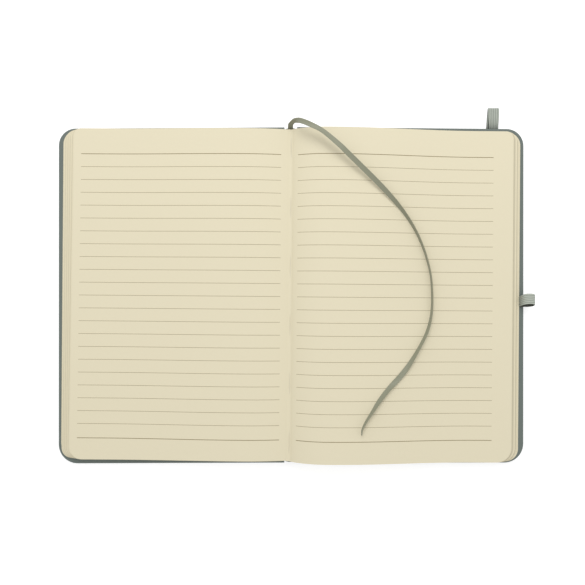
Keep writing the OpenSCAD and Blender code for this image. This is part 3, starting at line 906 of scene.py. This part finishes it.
def pen_loop():
    """The pen loop, a strap from under the endpaper round to the fore-edge, with painted shade on its inner
    face.
    """
    foot_y, foot_z, slant = -3.7, 4.2, 0.3
    centre, radii = (147.6, 7.7), (3.65, 3.15)
    foot = [(136.0, 3.85), (142.0, 3.85), (143.4, 4.0), (144.2, 4.5)]
    turn = [math.radians(a) for a in range(-105, 121, 15)]
    loop = [(centre[0] + radii[0] * math.cos(t), centre[1] + radii[1] * math.sin(t)) for t in turn]
    fall = [(144.9, 9.9), (144.2, 9.0), (143.75, 7.9), (143.4, 6.7), (143.1, 5.6), (142.8, 4.5)]
    stations = flat_path([(x, foot_y, z) for x, z in foot + loop + fall], (0, 1, 0))
    for station in stations:
        leaning = Vector(station[0])
        leaning.y += slant * max(0.0, leaning.z - foot_z)
        station[0] = leaning
    section = strap_section(width=6.5, thick=0.62)
    obj = sweep("pen_loop_strap", stations, section, loop_elastic, ribs=RIBS)
    obj.data.materials.append(loop_inside_shade)
    # Painted shade: faces on the strap's inner side take the dark inside material
    inner = [v > 0 for _, v in section]
    for polygon in obj.data.polygons[: (len(stations) - 1) * len(section)]:
        column = polygon.index % len(section)
        polygon.material_index = int(inner[column] and inner[(column + 1) % len(section)])
    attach(obj, "back_half")
    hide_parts("pen_loop")


elastic_band()
slot_mouth("head", SLOT_Y)
slot_mouth("tail", -SLOT_Y)
pen_loop()


def stitch_row_tree():
    """A row of stitches whose ends are thinner and dip into the fold."""
    tree, size = new_tree("stitch_row", {
        "Stitches": int, "Pitch": float, "Length": float, "Diameter": float, "Height": float, "Middle": float,
        "Off the fold": float, "Dip": float, "Thread": bpy.types.Material,
    })
    m = lambda operation, *values: maths(tree, operation, *values)
    thinning = 0.35
    rod = add(tree, "GeometryNodeMeshCylinder")
    for name, value in {"Vertices": 10, "Side Segments": 16, "Radius": 0.5, "Depth": 1}.items():
        rod.inputs[name].default_value = value
    position = add(tree, "GeometryNodeInputPosition").outputs[0]
    x, y, z = add(tree, "ShaderNodeSeparateXYZ", Vector=position).outputs
    to_end = m("POWER", m("ABSOLUTE", m("MULTIPLY", z, 2)), 4)
    thick = m("MULTIPLY", size["Diameter"], m("SUBTRACT", 1, m("MULTIPLY", to_end, thinning)))
    low = m("SUBTRACT", m("MULTIPLY", y, thick), m("MULTIPLY", size["Dip"], to_end))
    along = m("MULTIPLY", z, size["Length"])
    shape = add(tree, "ShaderNodeCombineXYZ", X=m("MULTIPLY", x, thick), Y=along, Z=low)
    stitch = add(tree, "GeometryNodeSetPosition", Geometry=rod.outputs[0], Position=shape.outputs[0])

    half_row = m("DIVIDE", m("MULTIPLY", size["Pitch"], m("SUBTRACT", size["Stitches"], 1)), 2)
    begin = add(
        tree, "ShaderNodeCombineXYZ",
        X=size["Off the fold"], Y=m("SUBTRACT", size["Middle"], half_row), Z=size["Height"],
    )
    pitch = add(tree, "ShaderNodeCombineXYZ", Y=size["Pitch"])
    line = add(tree, "GeometryNodeMeshLine", Count=size["Stitches"])
    tree.links.new(begin.outputs[0], line.inputs["Start Location"])
    tree.links.new(pitch.outputs[0], line.inputs["Offset"])
    row = add(tree, "GeometryNodeInstanceOnPoints", Points=line.outputs[0], Instance=stitch.outputs[0])
    finish_tree(tree, in_case(tree, row.outputs[0]), size["Thread"])
    return tree


STITCH_RISE = 0.62  # how high the stitches lie on the folded sheet, above the gutter's height

stitches = made_by(stitch_row_tree(), "stitches", {
    "Stitches": 6, "Pitch": 36.4, "Length": 14.0, "Diameter": 0.5, "Height": GUTTER_Z + STITCH_RISE,
    "Middle": BLOCK_MIDDLE, "Off the fold": -0.3, "Dip": 0.3, "Thread": thread,
})
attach(shade(stitches, 60), "back_half")
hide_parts("sewing_thread")

# The ribbon's way from the spine to its cut end: x, distance from the block's head, height, lean in degrees
HEAD_Y = 103.0
ROUTE = [
    (-0.2, 0.3, 6.8, 0), (-0.2, 1.4, 8.5, 0), (-0.1, 2.6, 10.5, 20), (0.7, 3.3, 12.5, 60),
    (2.3, 3.6, 16, 50), (4, 3.2, 19, 30), (5.6, 2.6, 21.2, 15), (8, 1.4, 23, 5),
    (11.5, -0.3, 24, 0), (19, -4.3, 24.6, -18), (29, -12.4, 24, -6), (34.5, -17.5, 23, 8),
    (46.5, -28.5, 20.2, 15), (53, -34.5, 18.5, 22), (59.5, -41, 17, 32), (66, -48, 15.4, 49),
    (71.5, -55, 14.2, 63), (76, -62, 13.4, 71), (79.5, -69, 12.9, 75), (83, -78, 12.4, 79),
    (86, -90, 12, 81), (87, -103.5, 11.8, 79), (86.5, -114, 11.9, 76), (84.5, -123, 12.1, 66),
    (81.5, -130, 12.5, 66), (77, -138, 13.1, 60), (72, -146, 13.5, 34), (66.5, -153, 13.9, 10),
    (60, -159.5, 15.3, 36), (54, -167, 16.2, 43), (50, -173, 17.1, 57), (46, -179, 17.6, 67),
    (43.5, -184, 17.9, 74), (43, -187.5, 18.1, 80),
]
ROUTE_STEPS = 5  # stations of the ribbon from one point of its route to the next
RIBBON_W, RIBBON_T = 3.2, 0.22
ROLLED_IN, ROLLED_FROM = 0.32, 0.86  # share of the width lost at the cut end, and where that begins
SELVEDGE = (0.12, 0.35)  # where the ribbon's thick border is thickest and where it ends


def between_knots(p, q, r, s, t):
    """A value at a share t of the way from q to r, on a Catmull-Rom curve through p, q, r and s."""
    squared, cubed = 2 * p - 5 * q + 4 * r - s, 3 * q - p - 3 * r + s
    return (2 * q + (r - p) * t + squared * t ** 2 + cubed * t ** 3) / 2


def curve_through(knots, steps):
    """Catmull-Rom curve through the knots, all their values included."""
    out = []
    for i in range(len(knots) - 1):
        around = [knots[max(0, min(len(knots) - 1, i + k))] for k in (-1, 0, 1, 2)]
        for n in range(steps):
            out.append(tuple(between_knots(*values, n / steps) for values in zip(*around)))
    return out + [tuple(knots[-1])]


def ribbon_stations(path):
    """Stations along the ribbon's way, each leaning as the route says, and rolled in towards the cut end."""
    stations = []
    for i, (x, y, z, lean) in enumerate(path):
        before, after = path[max(i - 1, 0)], path[min(i + 1, len(path) - 1)]
        ahead = (Vector(after[:3]) - Vector(before[:3])).normalized()
        level_way = Vector((0, 0, 1)).cross(ahead).normalized()
        upright = ahead.cross(level_way)
        t = math.radians(lean)
        across = level_way * math.cos(t) + upright * math.sin(t)
        rolled_in = ROLLED_IN * smoothstep(ROLLED_FROM, 1.0, i / (len(path) - 1))
        stations.append((Vector((x, y, z)), across, ahead.cross(across), 1.0 - rolled_in))
    return stations


def ribbon():
    """The ribbon marker, a flat satin strap with a slightly thicker border on both sides."""
    side, (thickest, border) = RIBBON_W / 2, SELVEDGE
    upper = [(-side, 0.0), (-side + thickest, RIBBON_T * 0.6), (-side + border, RIBBON_T * 0.35)]
    upper += [(0, RIBBON_T * 0.3)] + [(-u, v) for u, v in reversed(upper)]
    section = upper + [(u, -v) for u, v in reversed(upper[1:-1])]
    path = [(x, HEAD_Y + y, z, lean) for x, y, z, lean in curve_through(ROUTE, ROUTE_STEPS)]
    obj = sweep("ribbon", ribbon_stations(path), section, satin)
    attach(obj, "back_half")
    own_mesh(obj)
    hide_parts("ribbon_marker")


ribbon()


# Light and floor, in metres

FLOOR_Z = -0.0001  # just below the table height, so that the floor doesn't share it with the front cover
FLOOR_REACH = 2
FLOOR_GREY = 0.6


def direct_view(tree):
    """One for rays that show a surface to the camera: straight, mirrored or through glass."""
    kind = tree.nodes.new("ShaderNodeLightPath")
    total = kind.outputs["Is Camera Ray"]
    for name in ("Is Glossy Ray", "Is Transmission Ray"):
        total = maths(tree, "ADD", total, kind.outputs[name])
        total.node.use_clamp = True
    return total


def mixed_shaders(tree, share, first, second):
    """A shader that turns from the first into the second as the share rises to one."""
    node = tree.nodes.new("ShaderNodeMixShader")
    for socket, source in zip(node.inputs, (share, first, second)):
        tree.links.new(source, socket)
    return node.outputs[0]


def studio():
    """Even light from all round, and a white background."""
    world = bpy.data.worlds.new("studio")
    world.use_nodes = True
    tree = world.node_tree
    light = tree.nodes["Background"]
    light.inputs["Color"].default_value = (1, 1, 1, 1)
    light.inputs["Strength"].default_value = 0.80
    white = tree.nodes.new("ShaderNodeBackground")
    white.inputs["Color"].default_value = (1, 1, 1, 1)
    seen = mixed_shaders(tree, direct_view(tree), light.outputs[0], white.outputs[0])
    tree.links.new(seen, tree.nodes["World Output"].inputs["Surface"])
    return world


def window():
    """A wide lamp beyond the head of the notebook, turned towards it."""
    data = bpy.data.lights.new("window", "AREA")
    data.shape = "RECTANGLE"
    data.size, data.size_y = 0.5, 0.35
    data.energy = 2.4
    lamp = bpy.data.objects.new("window", data)
    lamp.location = (0.02, 0.46, 0.62)
    lamp.rotation_euler = (-Vector(lamp.location)).to_track_quat("-Z", "Y").to_euler()
    return lamp


def floor_material():
    """White to the camera apart from shadows, grey as a source of light, and clear from below."""
    material, shader, tree = new_material("floor", (FLOOR_GREY,) * 3, roughness=1, specular=0)
    glow = tree.nodes.new("ShaderNodeEmission")
    tree.links.new(maths(tree, "MULTIPLY", direct_view(tree), 0.6), glow.inputs["Strength"])
    lit = tree.nodes.new("ShaderNodeAddShader")
    tree.links.new(shader.outputs[0], lit.inputs[0])
    tree.links.new(glow.outputs[0], lit.inputs[1])
    below = tree.nodes.new("ShaderNodeNewGeometry").outputs["Backfacing"]
    clear = tree.nodes.new("ShaderNodeBsdfTransparent").outputs[0]
    one_sided = mixed_shaders(tree, below, lit.outputs[0], clear)
    tree.links.new(one_sided, tree.nodes["Material Output"].inputs["Surface"])
    return material


scene = bpy.context.scene
scene.view_settings.view_transform = "Standard"
scene.world = studio()
scene.collection.objects.link(window())

r = FLOOR_REACH
floor_mesh = bpy.data.meshes.new("floor")
floor_mesh.from_pydata([(x, y, FLOOR_Z) for x, y in ((-r, -r), (r, -r), (r, r), (-r, r))], [], [(0, 1, 2, 3)])
floor_mesh.materials.append(floor_material())
floor = bpy.data.objects.new("floor", floor_mesh)
scene.collection.objects.link(floor)
